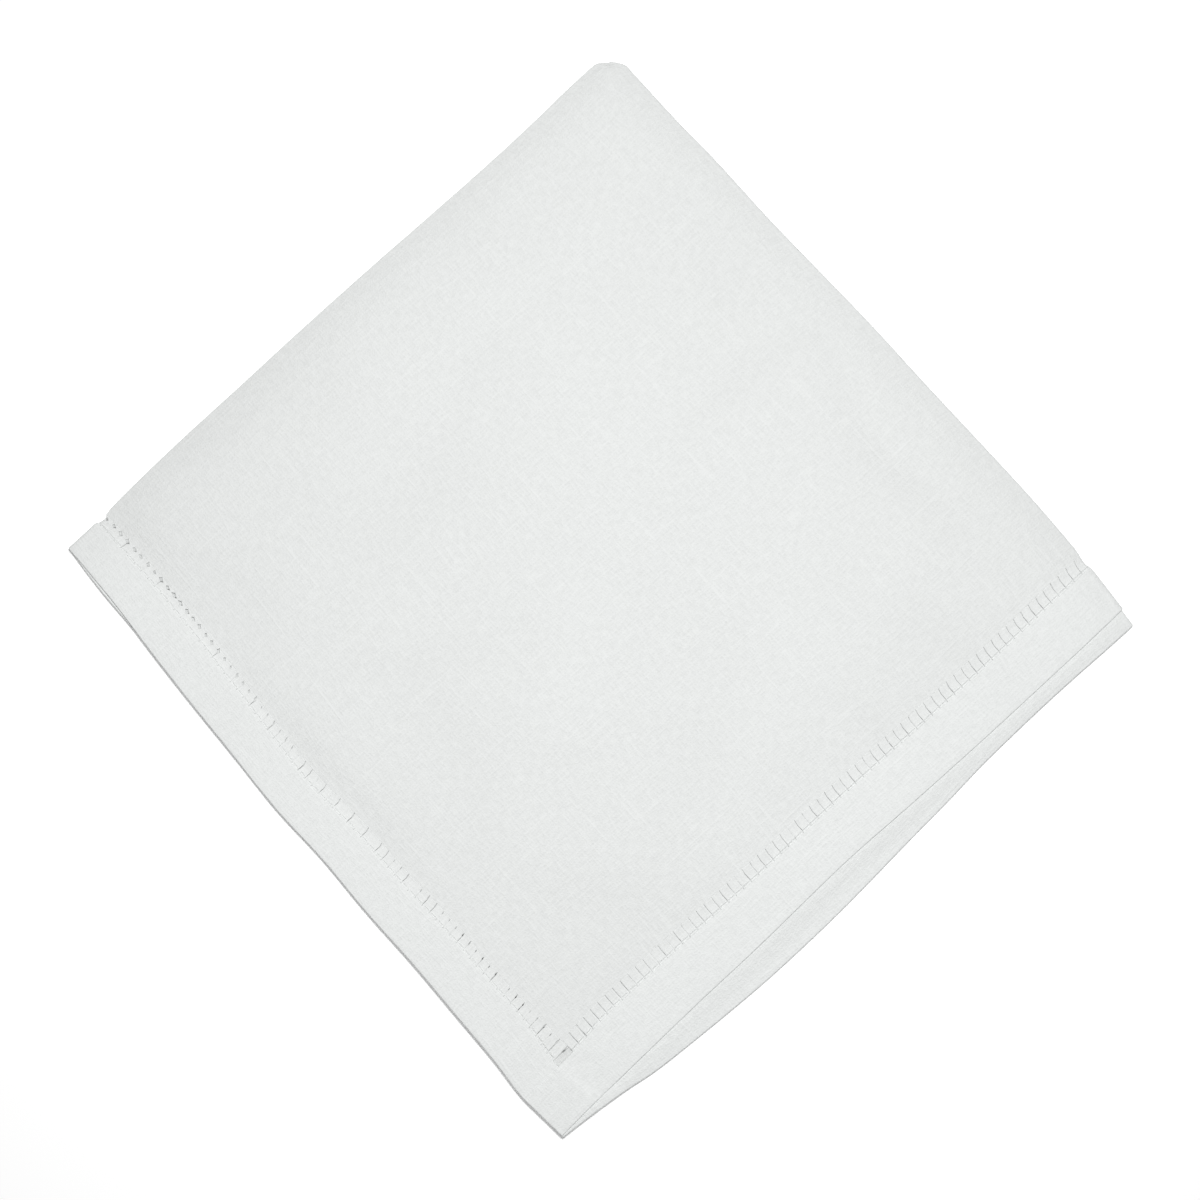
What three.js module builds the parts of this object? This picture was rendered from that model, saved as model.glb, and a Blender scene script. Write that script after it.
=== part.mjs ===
// A linen handkerchief with a hemstitched hem, folded in quarters and laid flat.
// The cloth is one square sheet. It is folded in half at the back, which lays its outer half over
// its inner half, and the pair is folded in half again at the right. So four layers lie over each
// other, a little apart. The hem edges lie at the left and at the front, over each other.
// Millimetres, +Z up. The origin is on the surface it lies on, under the middle of the cloth.

import * as THREE from "three";

// The folded square
const FOLDED_SIDE = 230; // half the side that the cloth was cut to
const LAYER_PITCH = 1.35; // from the middle of one layer up to the middle of the next
const HEM_PITCH = 1.55; // the same where the hems lie over each other

// The cloth and its hem
const CLOTH_THICKNESS = 1.0; // the plain cloth, with its slack
const HEM_THICKNESS = 1.2; // the turned hem
const HEM_EDGE_THICKNESS = 0.9; // the hem's turned edge, which is rounded
const HEM_WIDTH = 15.9; // five eighths of an inch, from the edge to the open band
const BAND_WIDTH = 4.6; // the band of drawn threads beside the hem
const BAND_THICKNESS = 0.7; // its bundled threads are thinner than the cloth
const EDGE_ROUNDING = 1.2; // how far in from the edge the hem has its full thickness
const SETTLE_WIDTH = 12; // beyond the band, over which the layers settle to their plain pitch

// What is uneven about it
const BAND_NOTCH = 0.7; // how far a fold is drawn in where the band crosses it
const NOTCH_REACH = 4.5; // how far from the band's middle that shows
const FRONT_SAG = 1.2; // how far the inner half's hem drops in front of the outer half's
const SAG_REACH = 8; // how far in front it takes to drop that far
const CORNER_ROUNDING = 4.5; // how far the cloth's centre is tucked in at the corner of both folds
const CORNER_REACH = 0.06; // the share of each side over which it is
const PULL_REACH = 80; // beyond the band, over which the cloth takes up an uneven hem

// How fine the solid is
const HEM_STEPS = 3;
const SETTLE_STEPS = 3;
const BODY_STEPS = 9;
const OUTER_FOLD_STEPS = 8;
const INNER_FOLD_STEPS = 6;

const LINEN_COLOR = 0xeaecec;
const LINEN_ROUGHNESS = 0.92;

// Each edge, seen from above. A row says how far the edge stands outside the square, in
// millimetres, at a share of the way along it: from the front on the left and right edges, and
// from the left on the back and front ones.
const LEFT_EDGE = [
  { along: 0.0, out: 1.0 },
  { along: 0.09, out: 2.5 },
  { along: 0.2, out: 1.4 },
  { along: 0.35, out: 0.5 },
  { along: 0.53, out: 1.0 },
  { along: 0.7, out: -0.2 },
  { along: 0.87, out: -2.2 },
  { along: 1.0, out: -3.2 },
];
const RIGHT_FOLD = [
  { along: 0.0, out: 0.9 },
  { along: 0.12, out: 1.2 },
  { along: 0.26, out: 1.0 },
  { along: 0.43, out: -0.5 },
  { along: 0.6, out: -1.8 },
  { along: 0.72, out: -3.1 },
  { along: 0.87, out: -4.5 },
  { along: 1.0, out: -5.1 },
];
const BACK_FOLD = [
  { along: 0.0, out: -0.3 },
  { along: 0.1, out: 1.1 },
  { along: 0.2, out: 2.4 },
  { along: 0.4, out: 3.7 },
  { along: 0.6, out: 4.2 },
  { along: 0.8, out: 4.7 },
  { along: 0.93, out: 5.6 },
  { along: 1.0, out: 5.8 },
];
const FRONT_EDGE_OUTER = [
  { along: 0.0, out: -0.5 },
  { along: 0.05, out: -1.7 },
  { along: 0.17, out: -3.3 },
  { along: 0.37, out: -5.0 },
  { along: 0.56, out: -7.0 },
  { along: 0.64, out: -6.8 },
  { along: 0.84, out: -8.0 },
  { along: 1.0, out: -9.0 },
];
const FRONT_EDGE_INNER = [
  { along: 0.0, out: 0.3 },
  { along: 0.08, out: 1.6 },
  { along: 0.17, out: 3.8 },
  { along: 0.3, out: 4.6 },
  { along: 0.43, out: 3.8 },
  { along: 0.6, out: 1.1 },
  { along: 0.79, out: -2.6 },
  { along: 1.0, out: -3.7 },
];

// How far inside the top layer's left edge each other layer's hem lies, along that edge. The two
// halves meet at the back fold.
const LEFT_SETBACK_INNER = [
  { along: 0.0, in: 1.2 },
  { along: 0.5, in: 0.9 },
  { along: 0.93, in: -0.4 },
  { along: 1.0, in: 0.0 },
];
const LOWER_SETBACK = 0.9; // the two lower layers lie this much further in at their hems

// How much wider than HEM_WIDTH the hem is, along the left and the front edges
const LEFT_HEM = [
  { along: 0.0, wider: 0.2 },
  { along: 0.13, wider: 1.2 },
  { along: 0.4, wider: -1.0 },
  { along: 0.6, wider: -1.1 },
  { along: 0.85, wider: -1.8 },
  { along: 1.0, wider: -3.2 },
];
const FRONT_HEM = [
  { along: 0.0, wider: 1.4 },
  { along: 0.2, wider: 0.2 },
  { along: 0.5, wider: 0.0 },
  { along: 0.8, wider: -0.5 },
  { along: 1.0, wider: -0.3 },
];

function table(rows, column) {
  const places = rows.map((row) => row.along);
  const values = rows.map((row) => row[column]);
  const curve = new THREE.CubicInterpolant(places, values, 1);
  return (along) => curve.evaluate(along)[0];
}

const leftOut = table(LEFT_EDGE, "out");
const rightOut = table(RIGHT_FOLD, "out");
const backOut = table(BACK_FOLD, "out");
const frontOutOuter = table(FRONT_EDGE_OUTER, "out");
const frontOutInner = table(FRONT_EDGE_INNER, "out");
const leftSetbackInner = table(LEFT_SETBACK_INNER, "in");
const leftHemWider = table(LEFT_HEM, "wider");
const frontHemWider = table(FRONT_HEM, "wider");

const { clamp, lerp, smoothstep } = THREE.MathUtils;

// 1 in the hem, 0 in the plain cloth, and between them in the open band
function hemShare(fromEdge) {
  return 1 - smoothstep(fromEdge, HEM_WIDTH, HEM_WIDTH + BAND_WIDTH);
}

// 1 over the hem and the band, 0 where the layers have settled on each other
function liftShare(fromEdge) {
  return 1 - clamp((fromEdge - HEM_WIDTH - BAND_WIDTH) / SETTLE_WIDTH, 0, 1);
}

// 1 in the middle of the open band, 0 outside it
function bandShare(fromEdge) {
  const fromMiddle = Math.abs(fromEdge - HEM_WIDTH - BAND_WIDTH / 2);
  return 1 - smoothstep(fromMiddle, BAND_WIDTH / 4, BAND_WIDTH / 2);
}

function clothThickness(fromSideEdge, fromFrontEdge) {
  const hem = Math.max(hemShare(fromSideEdge), hemShare(fromFrontEdge));
  const nearEdge = Math.min(fromSideEdge, fromFrontEdge);
  const full = lerp(CLOTH_THICKNESS, HEM_THICKNESS, hem);
  const rounded = lerp(HEM_EDGE_THICKNESS, full, smoothstep(nearEdge, 0, EDGE_ROUNDING));
  const openSide = fromFrontEdge > HEM_WIDTH ? bandShare(fromSideEdge) : 0;
  const openFront = fromSideEdge > HEM_WIDTH ? bandShare(fromFrontEdge) : 0;
  return lerp(rounded, BAND_THICKNESS, Math.max(openSide, openFront));
}

// 1 in the open band, 0 at the hem's edge and where the cloth has taken up the hem's unevenness
function pullShare(fromEdge) {
  if (fromEdge < HEM_WIDTH) {
    return fromEdge / HEM_WIDTH;
  }
  return 1 - clamp((fromEdge - HEM_WIDTH - BAND_WIDTH) / PULL_REACH, 0, 1);
}

// How far the band draws in a fold that it crosses
function notch(fromEdge) {
  const fromMiddle = Math.abs(fromEdge - HEM_WIDTH - BAND_WIDTH / 2);
  return BAND_NOTCH * (1 - smoothstep(fromMiddle, 0, NOTCH_REACH));
}

// How far the corner of both folds, the cloth's centre, is tucked in
function cornerTuck(share) {
  return CORNER_ROUNDING * smoothstep(share, 1 - CORNER_REACH, 1) ** 2;
}

// The places along one layer, as distances from its hem edge to the fold, close together in the
// hem and beside it and even over the plain cloth
function layerPlaces() {
  const settleStart = HEM_WIDTH + BAND_WIDTH;
  const bodyStart = settleStart + SETTLE_WIDTH;
  const places = [0, EDGE_ROUNDING];
  for (let step = 1; step <= HEM_STEPS; step += 1) {
    places.push(lerp(EDGE_ROUNDING, HEM_WIDTH, step / HEM_STEPS));
  }
  places.push(HEM_WIDTH + BAND_WIDTH / 2);
  for (let step = 0; step < SETTLE_STEPS; step += 1) {
    places.push(lerp(settleStart, bodyStart, step / SETTLE_STEPS));
  }
  for (let step = 0; step <= BODY_STEPS; step += 1) {
    places.push(lerp(bodyStart, FOLDED_SIDE, step / BODY_STEPS));
  }
  return places;
}

// One way across the whole cloth: out along one layer, round the fold and back along the other.
// The turn goes from 0 on the first layer to pi on the second.
function crossing(foldSteps) {
  const layer = layerPlaces();
  const first = layer.map((fromEdge) => ({ fromEdge, turn: 0 }));
  const fold = [];
  for (let step = 1; step < foldSteps; step += 1) {
    fold.push({ fromEdge: FOLDED_SIDE, turn: (Math.PI * step) / foldSteps });
  }
  const second = layer.map((fromEdge) => ({ fromEdge, turn: Math.PI })).reverse();
  return [...first, ...fold, ...second];
}

// The two sides of the sheet at one place of the cloth. The wrap is the right fold, from the lower
// layers up to the upper ones. The lap is the back fold, from the inner half to the outer one.
function sheetSides(wrap, lap) {
  const across = wrap.fromEdge / FOLDED_SIDE;
  const deep = lap.fromEdge / FOLDED_SIDE;
  const upper = (1 - Math.cos(wrap.turn)) / 2;
  const outer = (1 - Math.cos(lap.turn)) / 2;
  const thickness = clothThickness(wrap.fromEdge, lap.fromEdge);

  const lower = (1 - upper) * LOWER_SETBACK;
  const leftX = (1 - outer) * leftSetbackInner(deep) + lower * (1 - deep) - leftOut(deep);
  const frontOuterY = -frontOutOuter(across);
  const frontInnerY = -frontOutInner(across);
  const frontY = lerp(frontInnerY, frontOuterY, outer) + lower * (1 - across);
  const rightX = FOLDED_SIDE + rightOut(deep) - notch(lap.fromEdge) - cornerTuck(deep);
  const backY = FOLDED_SIDE + backOut(across) - notch(wrap.fromEdge) - cornerTuck(across);

  const pullX = leftHemWider(deep) * pullShare(wrap.fromEdge);
  const pullY = frontHemWider(across) * pullShare(lap.fromEdge);

  const plainY = lerp(frontY, backY, deep) + pullY;
  const fromOuterFront = plainY - frontOuterY;
  const lift = Math.max(liftShare(wrap.fromEdge), liftShare(fromOuterFront));
  const pitch = lerp(LAYER_PITCH, HEM_PITCH, lift);
  const hem = Math.max(hemShare(wrap.fromEdge), hemShare(fromOuterFront));
  const lowest = lerp(CLOTH_THICKNESS, HEM_THICKNESS, hem) / 2;

  // The middle of each pair of layers runs round the right fold at this radius, and the two
  // layers of a pair run half a pitch inside and outside it.
  const wrapRadius = pitch;
  const lapRadius = pitch / 2;
  const x = lerp(leftX, rightX - wrapRadius - lapRadius - thickness / 2, across) + pullX;
  const y = lerp(frontY, backY - lapRadius - thickness / 2, deep) + pullY;
  const z = lowest + wrapRadius + lapRadius;
  const sag = FRONT_SAG * smoothstep(-fromOuterFront, 0, SAG_REACH) * (1 - outer);

  const radius = wrapRadius - lapRadius * Math.cos(lap.turn);
  const middle = new THREE.Vector3(
    x + radius * Math.sin(wrap.turn),
    y + lapRadius * Math.sin(lap.turn),
    z - radius * Math.cos(wrap.turn) - sag,
  );
  const outward = new THREE.Vector3(
    -Math.cos(lap.turn) * Math.sin(wrap.turn),
    Math.sin(lap.turn),
    Math.cos(lap.turn) * Math.cos(wrap.turn),
  );
  return [
    middle.clone().addScaledVector(outward, thickness / 2),
    middle.clone().addScaledVector(outward, -thickness / 2),
  ];
}

// Where two bands cross near a corner of the cloth, all threads are drawn, which leaves a hole.
function inBand(from, to) {
  const middle = (from.fromEdge + to.fromEdge) / 2;
  return middle > HEM_WIDTH && middle < HEM_WIDTH + BAND_WIDTH;
}

function foldedSheet() {
  const wraps = crossing(OUTER_FOLD_STEPS);
  const laps = crossing(INNER_FOLD_STEPS);
  const positions = [];
  for (const wrap of wraps) {
    for (const lap of laps) {
      for (const side of sheetSides(wrap, lap)) {
        positions.push(side.x, side.y, side.z);
      }
    }
  }
  const corner = (column, row, side) => (column * laps.length + row) * 2 + side;
  const isCloth = (column, row) => {
    if (column < 0 || row < 0 || column >= wraps.length - 1 || row >= laps.length - 1) {
      return false;
    }
    const sideBand = inBand(wraps[column], wraps[column + 1]);
    return !(sideBand && inBand(laps[row], laps[row + 1]));
  };

  const triangles = [];
  const addQuad = (a, b, c, d) => triangles.push(a, b, c, a, c, d);
  for (let column = 0; column < wraps.length - 1; column += 1) {
    for (let row = 0; row < laps.length - 1; row += 1) {
      if (!isCloth(column, row)) {
        continue;
      }
      // The four corners in turn, and the neighbour across the side that starts at each
      const ring = [
        { at: [column, row], beside: [column, row - 1] },
        { at: [column + 1, row], beside: [column + 1, row] },
        { at: [column + 1, row + 1], beside: [column, row + 1] },
        { at: [column, row + 1], beside: [column - 1, row] },
      ];
      const face = ring.map(({ at }) => corner(...at, 0));
      const back = ring.map(({ at }) => corner(...at, 1));
      addQuad(face[0], face[1], face[2], face[3]);
      addQuad(back[3], back[2], back[1], back[0]);
      ring.forEach(({ beside }, start) => {
        const end = (start + 1) % ring.length;
        if (!isCloth(...beside)) {
          addQuad(face[end], face[start], back[start], back[end]);
        }
      });
    }
  }

  const geometry = new THREE.BufferGeometry();
  geometry.setAttribute("position", new THREE.Float32BufferAttribute(positions, 3));
  geometry.setIndex(triangles);
  geometry.computeVertexNormals();
  return geometry;
}

// The cloth is moved so that the origin lies under its middle.
function centred(geometry) {
  geometry.computeBoundingBox();
  const middle = geometry.boundingBox.getCenter(new THREE.Vector3());
  geometry.translate(-middle.x, -middle.y, -geometry.boundingBox.min.z);
  return geometry;
}

const linen = new THREE.MeshStandardMaterial({
  color: LINEN_COLOR,
  roughness: LINEN_ROUGHNESS,
  metalness: 0,
});

const handkerchief = new THREE.Mesh(centred(foldedSheet()), linen);
handkerchief.name = "handkerchief";

const foldedHandkerchief = new THREE.Group();
foldedHandkerchief.add(handkerchief);

export default foldedHandkerchief;
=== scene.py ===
import math

import bpy
import numpy as np
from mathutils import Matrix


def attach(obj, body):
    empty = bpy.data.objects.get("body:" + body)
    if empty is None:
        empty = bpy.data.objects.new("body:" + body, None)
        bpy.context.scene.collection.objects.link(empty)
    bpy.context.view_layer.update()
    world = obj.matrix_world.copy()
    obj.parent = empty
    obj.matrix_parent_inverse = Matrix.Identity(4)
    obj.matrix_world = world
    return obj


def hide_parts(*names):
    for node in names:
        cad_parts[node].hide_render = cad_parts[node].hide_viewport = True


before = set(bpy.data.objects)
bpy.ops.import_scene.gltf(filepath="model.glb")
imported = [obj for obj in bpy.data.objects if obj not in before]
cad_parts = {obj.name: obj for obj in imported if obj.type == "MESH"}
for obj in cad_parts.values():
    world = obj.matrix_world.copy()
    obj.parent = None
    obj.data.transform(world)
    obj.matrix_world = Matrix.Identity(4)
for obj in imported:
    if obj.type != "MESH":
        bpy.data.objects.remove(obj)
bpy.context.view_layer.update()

# The folded cloth
# One square of bleached linen, about 18 inches each way. It is folded in half at the back and in
# half again at the right, by hand, so four layers lie over each other and their hems come
# together at the left and in front. Sizes here are in millimetres, and the meshes in metres.
MM = 0.001
SIDE = 230.0  # half of the cloth, from its hem edge to its fold line
WRAP = 3.4  # cloth that goes round the right fold, where the pair of layers turns over
LAP = 1.7  # cloth that goes round the back fold, where one layer turns over
ACROSS = 2 * SIDE + WRAP  # the whole cloth from left hem to left hem, round the right fold
DEEP = 2 * SIDE + LAP  # and from front hem to front hem, round the back fold
MIDDLE = np.array([114.35, 115.4, 0.0])  # the place that lies over the origin
HEM = 15.9  # five eighths of an inch
BAND = 4.6  # drawn threads beside the hem
CUT = HEM + BAND  # where the plain cloth begins, beyond the drawn threads
CLOTH_HALF = 0.2  # half of the cloth's thickness
HEM_HALF = 0.42  # half of the hem's, three plies

# How far apart the layers lie
PITCH = 1.25  # from one layer's middle to the next
HEM_PITCH = 1.27  # where they lie on their hems
FOLD_PITCH = 0.42  # pressed together at a fold
HEM_FOLD_PITCH = 0.88  # and where the hem goes into the fold
PITCHES = 3  # between the lowest layer and the top one
FOLD_REACH = 13.0  # how far from a fold the layers begin to close up
SETTLE = 9.0  # how far beyond the hemstitch the layers take to settle
BAND_DIP = 0.42  # how much closer the layers lie at the hemstitch
LEFT_DIP_FRONT = 0.25  # the share of that dip at the front end of the left hemstitch
LEFT_DIP_BACK = 0.6  # at its back end
FRONT_DIP = 0.2  # and at the front hemstitch
DIP_STARTS, DIP_FULL = -0.5, 2.5  # where it starts and is full, past the hem's inner edge
DIP_REACH = 7.0  # how far it reaches into the cloth
CLING = 0.6  # the share of a layer's pitch by which the next layer clings to the top one's hemstitch
LEFT_CLING_BACK = 0.2  # the share of that at the back end of the left hemstitch
HEM_CLING = 0.34  # the share of a pitch by which it clings to the top one's front hem
CLING_AHEAD = 5.0  # how far in front of the top hem it begins to rise to it
SAG_REACH = 7.0  # how far in front of the top hem the inner layers' hems take to droop

# How the edges stand out
THIRD_OUT = 0.25  # how far the third layer stands out under the top one's left hem
BOTTOM_OUT = 0.5  # and the lowest one
BACK_NOTCH = 1.0  # how far the back fold draws in where it crosses the hemstitch
RIGHT_NOTCH = 0.6  # and the right fold
NOTCH_REACH = 4.0  # how far each way from the middle of the hemstitch
PULL_REACH = 80.0  # how far into the cloth the hems' uneven widths pull it
CORNER_TUCK = 2.4  # how far the corner between the folds is tucked in
CORNER_REACH = 0.016  # over this share of each side
CORNER_CURVE = 1.3  # with this power, so that it is a little hollow

# How far each edge stands out of the square of SIDE, at a share of the way along it. In front, the
# outer half of the cloth has one edge, on top and at the bottom, and the inner half another.
LEFT_EDGE = [
    (0, 0.1), (0.045, 0.9), (0.08, 1.45), (0.125, 0.7), (0.22, 0.2), (0.3, -0.1), (0.39, 0.25),
    (0.48, -0.15), (0.565, 0.45), (0.65, -0.35), (0.74, -1.2), (0.83, -2.3), (0.91, -3.5),
    (0.97, -3.8), (1, -3.85),
]
RIGHT_FOLD = [
    (0, 0.2), (0.05, 0.9), (0.1, 1.3), (0.21, 1.35), (0.27, 0.95), (0.39, 0), (0.51, -0.7),
    (0.63, -2.1), (0.7, -2.9), (0.82, -3.6), (0.88, -4.4), (0.94, -4.8), (1, -5.1),
]
BACK_FOLD = [
    (0, 0.1), (0.06, 0.4), (0.15, 1.75), (0.21, 2.4), (0.33, 3.1), (0.45, 3.85), (0.57, 4.2),
    (0.7, 4.25), (0.8, 4.5), (0.88, 5.1), (0.94, 5.8), (1, 6.0),
]
FRONT_OUTER = [
    (0, -0.4), (0.05, -1.2), (0.12, -2.1), (0.25, -3.6), (0.38, -4.7), (0.44, -5.55), (0.51, -6.4),
    (0.64, -6.65), (0.77, -7.1), (0.9, -8.0), (1, -8.8),
]
FRONT_INNER = [
    (0, 0.2), (0.035, 0.6), (0.087, 1.5), (0.15, 3.45), (0.22, 4.3), (0.35, 4.9), (0.41, 4.55),
    (0.48, 3.7), (0.54, 2.6), (0.61, 1.2), (0.67, 0.15), (0.74, -1.4), (0.8, -2.2), (0.87, -2.8),
    (1, -3.05),
]
# How much further the second layer from the top stands out at the left
SECOND_OUT = [(0, 0.1), (0.3, 0.2), (0.7, 0.1), (0.86, 0.3), (0.93, 0.9), (0.97, 0.6), (1, 0.1)]
# How much wider than HEM the hem is, and how much narrower than BAND the left ladder
LEFT_HEM = [
    (0, -1.6), (0.09, -1.7), (0.13, -1.3), (0.25, -1.6), (0.4, -2.2), (0.6, -3.1), (0.7, -2.4),
    (0.83, -2.0), (0.95, -3.1), (1, -3.3),
]
FRONT_HEM = [
    (0, -0.6), (0.09, -0.1), (0.15, 0.7), (0.22, 0.5), (0.33, 0.3), (0.45, -0.5), (0.64, 0),
    (0.8, 0.1), (1, 0.6),
]
LEFT_SQUEEZE = [(0, -1.0), (0.09, -1.0), (0.14, 0.7), (0.3, 1.0), (1, 1.0)]
# The share of their pitch at which the stacked hems stand along the left edge, and the share of a
# pitch by which the inner layers' front hems droop
LEFT_LOFT = [(0, 1.05), (0.3, 1.1), (0.48, 0.85), (0.62, 0.85), (0.78, 1), (1, 0.85)]
FRONT_SAG = [(0, 0.2), (0.15, 0.25), (0.3, 0.5), (0.45, 0.65), (0.65, 0.6), (0.8, 0.35), (1, 0.2)]

# The soft troughs and ridges that handling has left: the middle's place, the heading in degrees,
# and the length, width and height
CREASES = [
    (64, 232, 0, 130, 34, -0.85),
    (27, 190, 92, 90, 16, -0.3),
    (50, 112, 82, 70, 20, -0.3),
    (92, 171, 15, 42, 18, -0.4),
    (120, 186, 12, 60, 7, -0.25),
    (150, 199, 4, 96, 15, 0.3),
    (56, 40, 140, 48, 20, -0.45),
    (206, 94, 84, 66, 10, -0.45),
    (214, 88, 86, 56, 8, 0.25),
    (190, 132, -12, 46, 9, -0.3),
    (184, 143, -6, 40, 9, 0.2),
    (183, 36, 118, 26, 10, -0.22),
    (148, 36, 105, 20, 9, -0.25),
    (92, 104, 60, 40, 24, 0.25),
    (130, 50, 20, 90, 22, 0.3),
    (112, 78, 130, 40, 12, 0.15),
    (66, 130, 150, 46, 10, -0.2),
    (80, 82, 5, 22, 8, -0.25),
    (150, 150, 95, 50, 12, 0.15),
    (205, 166, 70, 30, 10, -0.2),
]
UNEVEN = 3.5  # how far a crease strays from its line
SLACK = 0.12  # the height of the slack cloth's broad waves, 110 to 140 mm long
RIPPLE = 0.07  # and of its small ones, 40 to 50 mm long


def curve(rows):
    """A smooth curve through the rows of a table."""
    along, value = np.array(rows, float).T
    slope = np.gradient(value, along)

    def at(x):
        i = np.clip(np.searchsorted(along, x) - 1, 0, len(along) - 2)
        span = along[i + 1] - along[i]
        t = (x - along[i]) / span
        start = (1 + 2 * t) * (1 - t) ** 2 * value[i] + t * (1 - t) ** 2 * span * slope[i]
        return start + t**2 * (3 - 2 * t) * value[i + 1] + t**2 * (t - 1) * span * slope[i + 1]

    return at


left_out, right_out, back_out = curve(LEFT_EDGE), curve(RIGHT_FOLD), curve(BACK_FOLD)
front_outer, front_inner, second_out = curve(FRONT_OUTER), curve(FRONT_INNER), curve(SECOND_OUT)
left_hem, front_hem, left_squeeze = curve(LEFT_HEM), curve(FRONT_HEM), curve(LEFT_SQUEEZE)
left_loft, front_sag = curve(LEFT_LOFT), curve(FRONT_SAG)


def mix(a, b, share):
    return a + (b - a) * share


def ease(x, start, end):
    """0 before start, 1 after end, and a soft step between them."""
    t = np.clip((x - start) / (end - start), 0, 1)
    return t * t * (3 - 2 * t)


def from_hem(place, whole):
    """How far a place on the cloth is from the nearer hem edge, up to the fold."""
    return np.minimum(np.minimum(place, whole - place), SIDE)


def plain_share(distance):
    """1 up to the inner side of the hemstitch, falling to 0 well inside the cloth."""
    return 1 - np.clip((distance - CUT) / PULL_REACH, 0, 1)


def pull(distance):
    """1 in the hemstitch, 0 at the hem's edge and well inside the cloth."""
    return np.where(distance < HEM, distance / HEM, plain_share(distance))


def squeeze(distance):
    """0 in the hem, 1 at the inner side of the hemstitch, and 0 again well inside the cloth."""
    return np.clip((distance - HEM) / BAND, 0, 1) * plain_share(distance)


def notch(distance):
    """1 in the middle of the hemstitch, 0 beyond NOTCH_REACH from it."""
    return 1 - ease(np.abs(distance - HEM - BAND / 2), 0, NOTCH_REACH)


def tuck(share):
    """How far a fold is drawn in at a share of the way along it, close to the far corner."""
    return CORNER_TUCK * np.clip((share - 1 + CORNER_REACH) / CORNER_REACH, 0, 1) ** CORNER_CURVE


def lift(distance):
    """1 over the hem and its hemstitch, 0 where the layers have settled."""
    return 1 - ease(distance, CUT - 1, CUT + SETTLE)


def dip(distance):
    """1 in the hemstitch, falling off quickly into the hem and slowly into the cloth."""
    into_band = ease(distance, HEM + DIP_STARTS, HEM + DIP_FULL)
    return into_band * (1 - ease(distance, CUT - 1, CUT + DIP_REACH))


def handled(x, y):
    """The height in millimetres that the creases and the slack of soft cloth give the top layer."""
    broad = np.sin(x / 17 + 1.3 * np.sin(y / 41)) * np.cos(y / 23 + 0.8 * np.sin(x / 37))
    small = np.sin(x / 6.5 - y / 15 + 2) * np.sin(y / 8 + x / 31)
    height = SLACK * broad + RIPPLE * small
    strayed_x = x + UNEVEN * np.sin(y / 11 + 0.7 * np.sin(x / 19))
    strayed_y = y + UNEVEN * np.sin(x / 13 + 0.9 * np.sin(y / 17) + 1)
    for middle_x, middle_y, heading, length, width, tall in CREASES:
        turn = math.radians(heading)
        away_x, away_y = strayed_x - middle_x, strayed_y - middle_y
        along = away_x * math.cos(turn) + away_y * math.sin(turn)
        aside = away_y * math.cos(turn) - away_x * math.sin(turn)
        height += tall * np.exp(-((2 * along / length) ** 2) - (2 * aside / width) ** 2)
    return height


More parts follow.
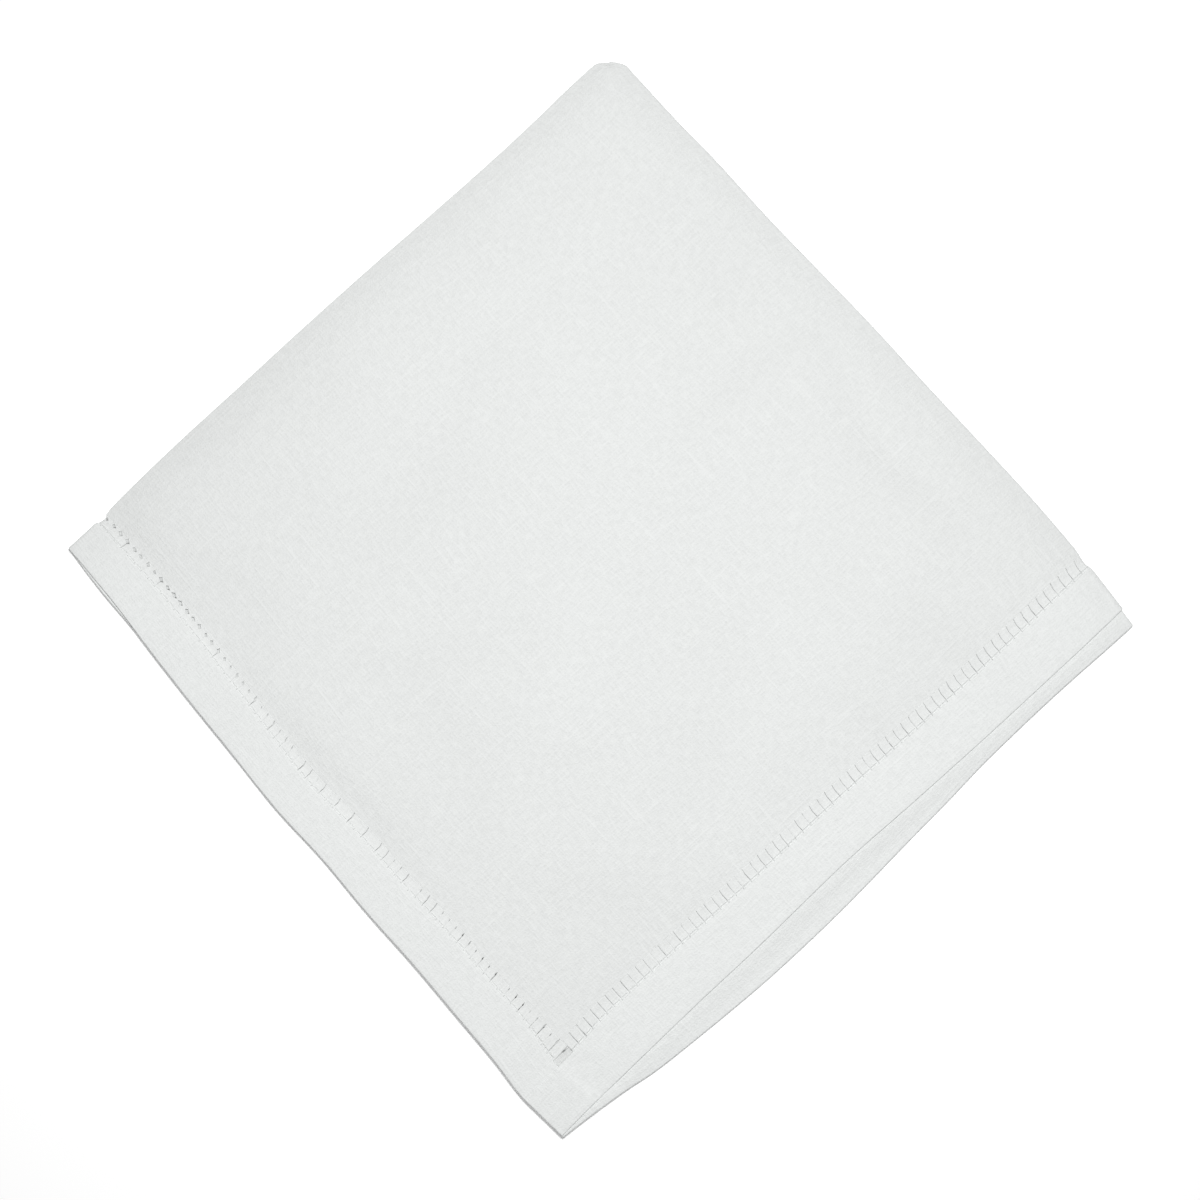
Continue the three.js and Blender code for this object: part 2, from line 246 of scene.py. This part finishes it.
def folded(u, v, out=0.0):
    """Where the place u across and v deep on the flat cloth lies once it is folded, as points in
    millimetres. Out is how far off the cloth's middle, towards the outside of the folds."""
    u, v, out = np.broadcast_arrays(*(np.asarray(x, float) for x in (u, v, out)))
    du, dv = from_hem(u, ACROSS), from_hem(v, DEEP)
    wrap = math.pi * np.clip((u - SIDE) / WRAP, 0, 1)
    lap = math.pi * np.clip((v - SIDE) / LAP, 0, 1)
    across, deep = du / SIDE, dv / SIDE  # shares of the way to the right fold and the back fold
    upper = (1 - np.cos(wrap)) / 2  # 0 in the lower pair of layers, 1 in the upper pair
    outer = (1 - np.cos(lap)) / 2  # 0 in the inner half of the cloth, 1 in the outer half

    # the four edges, and how the hems' own widths pull the cloth
    stand_out = mix(mix(THIRD_OUT, BOTTOM_OUT, outer), mix(second_out(deep), 0, outer), upper)
    left_x = -left_out(deep) - stand_out
    front_y = mix(-front_inner(across), -front_outer(across), outer)
    right_x = SIDE + right_out(deep) - RIGHT_NOTCH * notch(dv) - tuck(deep)
    back_y = SIDE + back_out(across) - BACK_NOTCH * notch(du) - tuck(across)
    pull_x = left_hem(deep) * pull(du) - left_squeeze(deep) * squeeze(du)
    pull_y = front_hem(across) * pull(dv)

    # how far apart the layers lie there
    plain_x = mix(left_x, right_x, across) + pull_x
    plain_y = mix(front_y, back_y, deep) + pull_y
    past_front = plain_y + front_outer(across)  # how far behind the top layer's front edge
    raised = lift(np.minimum(du, past_front))
    hem = 1 - ease(np.minimum(du, past_front), HEM, CUT)
    near_fold = np.clip(1 - np.minimum(right_x - plain_x, back_y - plain_y) / FOLD_REACH, 0, 1) ** 2
    left_dip = mix(LEFT_DIP_FRONT, LEFT_DIP_BACK, deep) * dip(du)
    pitch = mix(PITCH, HEM_PITCH, raised) * mix(1, left_loft(deep), lift(du))
    pitch = pitch - BAND_DIP * np.maximum(left_dip, FRONT_DIP * dip(past_front))
    pitch = pitch + handled(plain_x, plain_y) / PITCHES
    pitch = mix(pitch, mix(FOLD_PITCH, HEM_FOLD_PITCH, hem), near_fold)
    half = mix(CLOTH_HALF, HEM_HALF, hem)

    # the place on its layer, and round the folds
    pile_half = PITCHES / 2 * pitch
    radius = pitch - pitch / 2 * np.cos(lap)
    x = mix(left_x, right_x - pile_half - half, across) + pull_x + radius * np.sin(wrap)
    y = mix(front_y, back_y - pitch / 2 - half, deep) + pull_y + pitch / 2 * np.sin(lap)

    # the inner layers droop in front of the top hem, and the upper one clings to the top layer
    sag = front_sag(across) * pitch * ease(-past_front, 0, SAG_REACH) * (1 - outer)
    under_hem = ease(past_front, -CLING_AHEAD, -1) * (1 - ease(past_front, HEM - 1, HEM + 1))
    stitch_cling = CLING * np.maximum(mix(1, LEFT_CLING_BACK, deep) * dip(du), dip(past_front))
    cling = np.maximum(stitch_cling, HEM_CLING * under_hem) * pitch
    cling = cling * upper * (1 - outer) * (1 - near_fold)
    z = half + pile_half - radius * np.cos(wrap) - sag + cling

    x = x - out * np.cos(lap) * np.sin(wrap)
    y = y + out * np.sin(lap)
    z = z + out * np.cos(lap) * np.cos(wrap)
    return np.stack([x, y, z], -1)


# Where the cloth is between the greyest linen, 0, and the whitest, 1, with painted light and painted
# shade in it
PLAIN_WHITE = 0.86
CREASE_PAINTED_LIGHT_AND_SHADE = 0.14  # painted light for each millimetre of a ridge, and painted shade for a trough
HEM_WHITE = 0.14  # more in a hem, partly for its three plies and partly as painted light
HEM_FADE = 0.3  # how softly that ends at the hem's inner edge
FOLD_PAINTED_SHADE = 0.08  # painted shade along a fold
HOLE_PAINTED_SHADE = 0.36  # painted shade in the inner layers under the hole in the left front corner
HOLE_NEAR, HOLE_FAR = 6.0, 10.0  # how far round the hole that painted shade fades


def whiteness_and_painted_shade(u, v):
    """How white the cloth is painted: whiter in a hem, with painted light on a ridge, painted shade in
    a trough and along a fold, and the most painted shade in the inner layers under the hole in the left
    front corner."""
    x, y = np.moveaxis(folded(u, v), -1, 0)[:2]
    du, dv = from_hem(u, ACROSS), from_hem(v, DEEP)
    hem = 1 - ease(np.minimum(du, dv), HEM - HEM_FADE, HEM + HEM_FADE)
    near_fold = np.clip(1 - np.minimum(SIDE - du, SIDE - dv) / FOLD_REACH, 0, 1) ** 1.5
    hole_shade_mask = (v < SIDE) * (1 - ease(np.hypot(du - HEM, dv - HEM), HOLE_NEAR, HOLE_FAR))
    white = PLAIN_WHITE + CREASE_PAINTED_LIGHT_AND_SHADE * handled(x, y) + HEM_WHITE * hem
    return np.clip(white - FOLD_PAINTED_SHADE * near_fold - HOLE_PAINTED_SHADE * hole_shade_mask, 0, 1)


def new_piece(name, points, faces, flat):
    """A mesh piece from points in millimetres, with the flat cloth's millimetres as its UV map.
    Nothing goes through the surface that the cloth lies on."""
    points = np.maximum(points, [-np.inf, -np.inf, 0])
    mesh = bpy.data.meshes.new(name)
    mesh.from_pydata(((points - MIDDLE) * MM).tolist(), [], faces)
    corners = np.empty(len(mesh.loops), int)
    mesh.loops.foreach_get("vertex_index", corners)
    layer = mesh.uv_layers.new(name="flat_mm")
    layer.uv.foreach_set("vector", flat[corners].astype(np.float32).ravel())
    # how white the cloth is painted, with painted light on the ridges and painted shade in the troughs,
    # along the folds and under the corner hole
    white = mesh.attributes.new("whiteness_and_painted_shade", "FLOAT", "POINT")
    white.data.foreach_set("value", whiteness_and_painted_shade(flat[:, 0], flat[:, 1]).astype(np.float32))
    mesh.polygons.foreach_set("use_smooth", np.ones(len(mesh.polygons), bool))
    piece = bpy.data.objects.new(name, mesh)
    bpy.context.collection.objects.link(piece)
    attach(piece, "root")
    return piece


def flat_places(u, v):
    """Places on the flat cloth as one list, for the UV map."""
    return np.stack([u, v], -1).reshape(-1, 2)


def sheet_mesh(u, v, half):
    """A closed thin sheet over a grid of flat places, half a thickness either way."""
    rows, columns = u.shape
    points = np.concatenate([folded(u, v, half), folded(u, v, -half)]).reshape(-1, 3)
    flat = flat_places(u, v)
    ids = np.arange(rows * columns).reshape(rows, columns)
    top = np.stack([ids[:-1, :-1], ids[:-1, 1:], ids[1:, 1:], ids[1:, :-1]], -1).reshape(-1, 4)
    rim = np.concatenate([ids[0, :-1], ids[:-1, -1], ids[-1, :0:-1], ids[:0:-1, 0]])
    after = np.roll(rim, -1)
    under = rows * columns
    wall = np.stack([after, rim, rim + under, after + under], -1)
    return points, np.concatenate([top, top[:, ::-1] + under, wall]), np.concatenate([flat, flat])


CLOSING_ROWS = 10  # rows of the mesh where the layers close up near a fold
TURN_ROWS = 14  # and round the fold


def stations(start, whole, step):
    """Places along the cloth, the same from both hems, and closer together near and in its fold."""
    near = SIDE - FOLD_REACH
    open_part = np.linspace(start, near, round((near - start) / step), endpoint=False)
    closing = np.linspace(near, SIDE, CLOSING_ROWS, endpoint=False)
    one_half = np.concatenate([open_part, closing])
    turning = np.linspace(SIDE, whole - SIDE, TURN_ROWS)
    return np.concatenate([one_half, turning, (whole - one_half)[::-1]])


CLOTH_STEP = 2.5
CUT_ROW = 0.06  # one row close to the rim keeps the shading flat up to it
u, v = np.meshgrid(*(
    np.sort(np.append(stations(CUT, whole, CLOTH_STEP), [CUT + CUT_ROW, whole - CUT - CUT_ROW]))
    for whole in (ACROSS, DEEP)
))
points, quads, flat = sheet_mesh(u, v, CLOTH_HALF)
linen_cloth = new_piece("linen_cloth", points, quads.tolist(), flat)
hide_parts("handkerchief")


# Bleached linen in plain weave. It is matt and slightly cool, and the eye sees fine uneven threads
# both ways, with a longer, thicker one here and there.
def linear(hex_colour):
    """An sRGB hex colour as linear RGBA."""
    parts = [int(hex_colour[i : i + 2], 16) / 255 for i in (1, 3, 5)]
    return [p / 12.92 if p <= 0.04045 else ((p + 0.055) / 1.055) ** 2.4 for p in parts] + [1]


def add(tree, kind, sockets=None, **settings):
    """Adds a node with its settings, and fills its sockets with values or with other nodes' outputs."""
    made = tree.nodes.new(kind)
    for name, value in settings.items():
        setattr(made, name, value)
    for socket, value in (sockets or {}).items():
        if isinstance(value, bpy.types.NodeSocket):
            tree.links.new(value, made.inputs[socket])
        else:
            made.inputs[socket].default_value = value
    return made


THREAD = 0.75  # the thread spacing, drawn a little coarser than the real 0.6 so that it shows
THREAD_RUN = 3.5  # how far a thread keeps one thickness
FLECK = 0.5  # the fuzz of single fibres
FLECK_SHARE = 0.9  # beside the threads of one direction
SLUB = 1.1  # how wide a thick thread is
SLUB_RUN = 30.0  # and how long it stays thick
SLUB_STARTS, SLUB_FULL = 0.68, 0.78  # how strong the noise is where a thick thread shows
SLUB_HEIGHT = 0.25
LOW_RELIEF, HIGH_RELIEF = 1.05, 1.85  # the sum of the noises between the threads and on them
GREYEST_PAINTED_SHADE, WHITEST = "#CFD0CF", "#EEF0EF"  # with the most painted shade, in the deepest trough, and with the most painted light, on the highest ridge
SHADE_BETWEEN_THREADS = "#F5F5F5"  # painted shade between the threads, where the weave's relief is low, which also gives the weave its uneven grain
WEAVE_DEPTH = 0.15 * MM

bleached = bpy.data.materials.new("bleached_linen_plain_weave")
bleached.use_nodes = True
tree = bleached.node_tree
shader = tree.nodes["Principled BSDF"]
flat_place = add(tree, "ShaderNodeUVMap", uv_map="flat_mm").outputs["UV"]
grains = []
for across_mm, along_mm, detail in [
    (THREAD, THREAD_RUN, 1.0),
    (THREAD_RUN, THREAD, 1.0),
    (FLECK, FLECK, 0.0),
    (SLUB, SLUB_RUN, 0.0),
    (SLUB_RUN, SLUB, 0.0),
]:
    scaled = add(
        tree, "ShaderNodeMapping", {"Vector": flat_place, "Scale": (1 / across_mm, 1 / along_mm, 1)}
    ).outputs["Vector"]
    noise = add(tree, "ShaderNodeTexNoise", {"Vector": scaled, "Scale": 1.0, "Detail": detail})
    grains.append(noise.outputs["Fac"])
warp, weft, fleck, thick_warp, thick_weft = grains
threads = add(tree, "ShaderNodeMath", {0: warp, 1: weft}, operation="ADD").outputs[0]
weave = add(
    tree, "ShaderNodeMath", {0: fleck, 1: FLECK_SHARE, 2: threads}, operation="MULTIPLY_ADD"
).outputs[0]
slubs = add(tree, "ShaderNodeMath", {0: thick_warp, 1: thick_weft}, operation="MAXIMUM").outputs[0]
slub = add(
    tree,
    "ShaderNodeMapRange",
    {"Value": slubs, "From Min": SLUB_STARTS, "From Max": SLUB_FULL, "To Max": SLUB_HEIGHT},
).outputs["Result"]
relief = add(tree, "ShaderNodeMath", {0: weave, 1: slub}, operation="ADD").outputs[0]
grain = add(
    tree, "ShaderNodeMapRange", {"Value": relief, "From Min": LOW_RELIEF, "From Max": HIGH_RELIEF}
).outputs["Result"]
# how white the cloth is painted, with its painted light and shade, picks the ground colour
white = add(tree, "ShaderNodeAttribute", attribute_name="whiteness_and_painted_shade").outputs["Fac"]
# a colour mix takes its colours in sockets 6 and 7, and gives its result in output 2
ground = add(
    tree, "ShaderNodeMix", {0: white, 6: linear(GREYEST_PAINTED_SHADE), 7: linear(WHITEST)}, data_type="RGBA"
).outputs[2]
# the ground colour with painted shade between the threads, mixed in where the weave's relief is low
shaded = add(
    tree,
    "ShaderNodeMix",
    {0: 1.0, 6: ground, 7: linear(SHADE_BETWEEN_THREADS)},
    data_type="RGBA",
    blend_type="MULTIPLY",
).outputs[2]
colour = add(tree, "ShaderNodeMix", {0: grain, 6: shaded, 7: ground}, data_type="RGBA").outputs[2]
tree.links.new(colour, shader.inputs["Base Color"])
bump = add(
    tree, "ShaderNodeBump", {"Height": relief, "Strength": 0.7, "Distance": WEAVE_DEPTH}
).outputs["Normal"]
tree.links.new(bump, shader.inputs["Normal"])
shader.inputs["Roughness"].default_value = 0.85
shader.inputs["Specular IOR Level"].default_value = 0.3
shader.inputs["Sheen Weight"].default_value = 0.1
linen_cloth.data.materials.append(bleached)

# The turned hem
# The same cloth, turned in twice on itself, so it is three plies thick with rounded edges. The
# hems in front and behind are turned last, and lie over the ends of those at the sides.
STITCH = 3.06  # from one bundle of threads to the next
# Rows of the mesh from the hem's edge inward, close together where it is rounded
HEM_ROWS = [0, 0.04, 0.12, 0.25, 0.45, 2, 4, 6.5, 9, 11.5, 13.5, 14.6, 15.2, 15.6, 15.82, HEM]
HEM_STEP = STITCH / 4
RIM = np.array([0.04, 0.12, 0.25, 0.45])  # extra rows that round the hem's ends
ROUND = 0.4  # how far in from its edge the hem is rounded
ROUNDNESS = 0.98  # 1 would close the edge to a point
PUCKER = 0.3  # the share by which a stitch flattens the hem's inner edge
PUCKER_REACH = 2.4
PUCKER_POWER = 8  # how sharp it is along the edge
TUCKED_UNDER = 1.6  # how far a side hem's end reaches into the hem that lies over it
END_SHARE = 0.6  # the share of its thickness that it has there
END_THIN, END_FULL = 1.0, 2.6  # how far from its end it thickens
CORNER_PLIES = 0.3  # the share by which the corner is thicker, where both hems lie

# The flat cloth's four sides: how long the side is, whether along, inward and up make a left-handed
# set there, and where a place along the side and inward from it is on the cloth
SIDES = [
    (DEEP, True, lambda along, inward: (inward, along)),
    (DEEP, False, lambda along, inward: (ACROSS - inward, along)),
    (ACROSS, False, lambda along, inward: (along, inward)),
    (ACROSS, True, lambda along, inward: (along, DEEP - inward)),
]


def rounded(distance, reach):
    """The share of its thickness that a rounded edge has at a distance from its rim."""
    return np.sqrt(1 - ROUNDNESS * np.clip(1 - distance / reach, 0, 1) ** 2)


def joined(parts):
    """Several meshes as one. Each part is its points, its faces, its flat places, and whether its
    faces are to be turned round."""
    points, faces, flat, count = [], [], [], 0
    for part, part_faces, places, turned in parts:
        points.append(part)
        flat.append(places)
        faces += [tuple(i + count for i in (face[::-1] if turned else face)) for face in part_faces]
        count += len(part)
    return np.concatenate(points), faces, np.concatenate(flat)


strips = []
for whole, left_handed, place in SIDES:
    side_hem = whole == DEEP
    start = HEM - TUCKED_UNDER if side_hem else 0
    places_along = [stations(start, whole, HEM_STEP), start + RIM, whole - start - RIM]
    along, inward = np.meshgrid(np.unique(np.concatenate(places_along)), HEM_ROWS, indexing="ij")
    ends = np.minimum(along, whole - along) - start
    stitched = np.cos(math.pi * along / STITCH) ** PUCKER_POWER * ease(inward, HEM - PUCKER_REACH, HEM)
    half = HEM_HALF * rounded(inward, ROUND) * rounded(HEM - inward, ROUND) * (1 - PUCKER * stitched)
    if side_hem:
        half = half * mix(END_SHARE, 1, ease(ends, END_THIN, END_FULL))
    else:
        corner = 1 - ease(ends, HEM - 1, HEM + 2)
        half = half * rounded(ends, ROUND) * (1 + CORNER_PLIES * corner)
    points, quads, flat = sheet_mesh(*place(along, inward), half)
    # the grid runs inward before along, so its own faces are the other way round
    strips.append((points, quads.tolist(), flat, not left_handed))
turned_hem = new_piece("turned_hem", *joined(strips))
turned_hem.data.materials.append(bleached)

# The hemstitch bundles
# The threads that are left where the cross threads were drawn out. Sewing thread ties them into
# flat bundles, so each band is a ladder with narrow slits. Handling has pushed the side ladders
# together, so there the bundles touch at the hem and leave small holes beside the cloth.
BUNDLE_HALF = 0.17
INTO_CLOTH = 0.35  # how far a bundle's ends reach into the hem and into the cloth
HOLE = 2.3  # how tall the hole in the left front corner is, before the side ladder starts
INNER_HOLE = 1.6  # and in the inner layers, so that their ladder starts under the top hem
SLOT = 0.2  # the gap between the corner of the side ladder and the front one
# Round the bundle's cross-section, as shares of its half width and half thickness: three threads
# side by side above, and flat below
SECTION = np.array([
    (1, 0), (0.98, 0.7), (0.92, 0.95), (0.62, 1), (0.33, 0.6), (0, 1), (-0.33, 0.6), (-0.62, 1),
    (-0.92, 0.95), (-0.98, 0.7), (-1, 0), (-0.9, -1), (0.9, -1),
])
# How wide the slits are, at a share of the way from the corner to the fold
SIDE_OPEN = [
    (0, 0.5), (0.09, 0.45), (0.11, 0.36), (0.28, 0.3), (0.35, 0.2), (0.6, 0.15), (0.7, 0.7),
    (0.77, 1.4), (1, 1.6),
]
FRONT_OPEN = [
    (0, 0.3), (0.12, 0.25), (0.17, 0.08), (0.3, 0.05), (0.55, 0.05), (0.65, 0.075), (0.9, 0.09),
    (1, 0.09),
]
# The share of that width that a slit has, from the hem's side of the band to the cloth's
SIDE_SLIT = [(0, -0.1), (0.05, -0.1), (0.58, -0.1), (0.72, 1), (0.86, 0), (1, -0.1)]
FRONT_SLIT = [(0, 0.6), (0.05, 0.7), (0.58, 0.7), (0.72, 0.8), (0.86, 1.2), (1, 0)]
BUNDLE_CUTS = [0.05, 0.58, 0.72, 0.86]  # where a bundle has rows of points, for those two tables
NARROWEST, WIDEST = 0.6, 1.4  # how unequal the slits are
SIDE_STRAY = 0.13  # how far a side bundle strays from its place
FRONT_STRAY = 0.045  # and a front one
LEAN = 1.25  # how far a bundle may lean, for each millimetre that it may stray
SIDE_HUMP = 0.22  # how far the side bundles bulge up beside the hem
HUMP_ENDS = 0.7  # the share of the way across the band where that ends


def ladder(whole):
    """Where the first bundle of a side's ladder begins, the step to the next, and their number."""
    if whole == DEEP:
        first, last = HEM + INNER_HOLE, whole - HEM - HOLE
    else:
        first, last = CUT + SLOT, whole - CUT - SLOT
    count = round((last - first) / STITCH)
    return first, (last - first) / count, count


def copies(faces, size, count):
    """The faces of a shape with size points, for count copies of it."""
    return [tuple(i + size * number for i in face) for number in range(count) for face in faces]


bpy.ops.object.select_all(action="DESELECT")
bpy.ops.mesh.primitive_cylinder_add(
    vertices=len(SECTION), radius=1, depth=1, rotation=(math.pi / 2, 0, 0)
)
bundle = bpy.context.object
bpy.ops.object.transform_apply(location=False, rotation=True, scale=False)
bpy.ops.object.mode_set(mode="EDIT")
for share in BUNDLE_CUTS:
    bpy.ops.mesh.select_all(action="SELECT")
    bpy.ops.mesh.bisect(plane_co=(0, share - 0.5, 0), plane_no=(0, 1, 0))
bpy.ops.object.mode_set(mode="OBJECT")
round_points = np.array([vertex.co[:] for vertex in bundle.data.vertices])
bundle_faces = [tuple(face.vertices) for face in bundle.data.polygons]
bpy.data.objects.remove(bundle)
spoke = np.arctan2(round_points[:, 2], round_points[:, 0]) / (2 * math.pi / len(SECTION))
bundle_side, bundle_top = SECTION[np.round(spoke).astype(int) % len(SECTION)].T
bundle_share = round_points[:, 1] + 0.5

chance = np.random.default_rng(11)
ladders = []
for whole, left_handed, place in SIDES:
    side_ladder = whole == DEEP
    slit_width, slit_shape, stray = (
        (SIDE_OPEN, SIDE_SLIT, SIDE_STRAY) if side_ladder else (FRONT_OPEN, FRONT_SLIT, FRONT_STRAY)
    )
    first, step, count = ladder(whole)
    centre = first + step * (np.arange(count) + 0.5) + chance.uniform(-stray, stray, count)
    width = curve(slit_width)(from_hem(centre, whole) / SIDE) * chance.uniform(NARROWEST, WIDEST, count)
    half_width = (step - width[:, None] * curve(slit_shape)(bundle_share)) / 2
    lean = chance.uniform(-LEAN * stray, LEAN * stray, count)[:, None] * (bundle_share - 0.5)
    along = centre[:, None] + bundle_side * half_width + lean
    inward = np.broadcast_to(HEM - INTO_CLOTH + bundle_share * (BAND + 2 * INTO_CLOTH), along.shape)
    out = BUNDLE_HALF * bundle_top
    if side_ladder:
        out = out + SIDE_HUMP * np.sin(math.pi * np.clip(bundle_share / HUMP_ENDS, 0, 1))
    u, v = place(along, inward)
    points = folded(u, v, np.broadcast_to(out, along.shape)).reshape(-1, 3)
    faces = copies(bundle_faces, len(round_points), count)
    ladders.append((points, faces, flat_places(u, v), left_handed))
hemstitch = new_piece("hemstitch_bundles", *joined(ladders))
hemstitch.data.materials.append(bleached)

# The hemstitch thread
# White sewing thread. At each slit it goes once round the bundle and once over the hem's edge.
SEWING_HALF = 0.13
LOOP_IN = 0.62  # how far from the hem the loop lies on its bundle
LOOP_GAP = 0.1  # how far the loop stays inside the bundle's step, and stands off its flat sides
HEM_BITE = 0.55  # how far the stitch reaches over the hem's edge
BITE_SUNK = 0.05  # how far it is drawn into the hem
TURN_SEGMENTS = 10
THREAD_SEGMENTS = 4
RING_THREAD = 0.001  # the plain ring's own thread, which each stitch widens to SEWING_HALF

bpy.ops.object.select_all(action="DESELECT")
bpy.ops.mesh.primitive_torus_add(
    major_segments=TURN_SEGMENTS,
    minor_segments=THREAD_SEGMENTS,
    major_radius=1,
    minor_radius=RING_THREAD,
)
ring = bpy.context.object
ring_points = np.array([vertex.co[:] for vertex in ring.data.vertices])
ring_faces = [tuple(face.vertices) for face in ring.data.polygons]
bpy.data.objects.remove(ring)
turn_angle = np.arctan2(ring_points[:, 1], ring_points[:, 0])
thread_out = SEWING_HALF * (np.hypot(ring_points[:, 0], ring_points[:, 1]) - 1) / RING_THREAD
thread_side = SEWING_HALF * ring_points[:, 2] / RING_THREAD

stitches = []
for whole, left_handed, place in SIDES:
    first, step, count = ladder(whole)
    slit = first + step * np.arange(count)[:, None]
    # round each bundle, across the band
    round_along = slit + step / 2 + (step / 2 - LOOP_GAP + thread_out) * np.cos(turn_angle)
    round_inward = HEM + LOOP_IN + thread_side
    round_out = (BUNDLE_HALF + LOOP_GAP + thread_out) * np.sin(turn_angle)
    # over the hem's edge, in line with each slit
    over_along = slit + thread_side
    over_inward = HEM + BITE_SUNK + (HEM_BITE + thread_out) * np.cos(turn_angle)
    over_out = (HEM_HALF - BITE_SUNK + thread_out) * np.sin(turn_angle)
    for along, inward, out, turned in [
        (round_along, round_inward, round_out, not left_handed),
        (over_along, over_inward, over_out, left_handed),
    ]:
        u, v = place(along, np.broadcast_to(inward, along.shape))
        points = folded(u, v, np.broadcast_to(out, along.shape)).reshape(-1, 3)
        faces = copies(ring_faces, len(ring_points), count)
        stitches.append((points, faces, flat_places(u, v), turned))
hemstitch_thread = new_piece("hemstitch_thread", *joined(stitches))
hemstitch_thread.data.materials.append(bleached)

# The plain floor
# A white sheet of acrylic, faintly lit from below, so that it stays white to the picture's edges.
FLOOR_SIZE = 6.0
FLOOR_GLOW = 0.175
bpy.ops.object.select_all(action="DESELECT")
bpy.ops.mesh.primitive_plane_add(size=FLOOR_SIZE, location=(0, 0, 0))
floor = bpy.context.object
floor.name = "floor"
acrylic = bpy.data.materials.new("white_acrylic")
acrylic.use_nodes = True
glow = acrylic.node_tree.nodes["Principled BSDF"]
glow.inputs["Base Color"].default_value = linear("#FAFAFA")
glow.inputs["Roughness"].default_value = 0.9
glow.inputs["Emission Color"].default_value = linear("#FFFFFF")
glow.inputs["Emission Strength"].default_value = FLOOR_GLOW
floor.data.materials.append(acrylic)

# Soft studio light
# One small softbox high up, to the right and behind, so that the left and front edges have a thin
# shadow, and a weak even light from all round.
ROOM_LIGHT = 0.2
SOFTBOX = (0.13, 0.09, 0.85)
AIM = (-0.075, -0.075, 0)  # the place on the floor that it is turned to
SOFTBOX_SIZE = 0.09
SPREAD = 154  # degrees
WATTS = 4.54
world = bpy.data.worlds.new("soft_room")
bpy.context.scene.world = world
world.use_nodes = True
world.node_tree.nodes["Background"].inputs["Color"].default_value = linear("#FFFFFF")
world.node_tree.nodes["Background"].inputs["Strength"].default_value = ROOM_LIGHT
beam = np.subtract(AIM, SOFTBOX)
bpy.ops.object.light_add(
    type="AREA",
    location=SOFTBOX,
    rotation=(math.asin(beam[1] / np.linalg.norm(beam)), math.atan2(-beam[0], -beam[2]), 0),
)
softbox = bpy.context.object
softbox.data.shape = "SQUARE"
softbox.data.size = SOFTBOX_SIZE
softbox.data.spread = math.radians(SPREAD)
softbox.data.energy = WATTS

# The camera
# It hangs straight over the cloth, turned so that the corner of the hems points down.
PIXELS_PER_MM = 3.346  # how large the top layer shows, in a frame of 1200 pixels
FRAME_PIXELS = 1200
LENS = 85.0
SENSOR = 36.0
ROLL = 41.05  # degrees
CENTRE = np.array([113.7, 113.8])  # the place on the folded square that is in the middle of the frame
TOP = 4.5  # the height of the top layer
bpy.ops.object.camera_add()
camera = bpy.context.object
camera.data.lens = LENS
camera.data.sensor_width = SENSOR
away = FRAME_PIXELS / PIXELS_PER_MM * LENS / SENSOR + TOP
camera.location = (*((CENTRE - MIDDLE[:2]) * MM), away * MM)
camera.rotation_euler = (0, 0, -math.radians(ROLL))
bpy.context.scene.camera = camera
bpy.context.scene.view_settings.view_transform = "Standard"
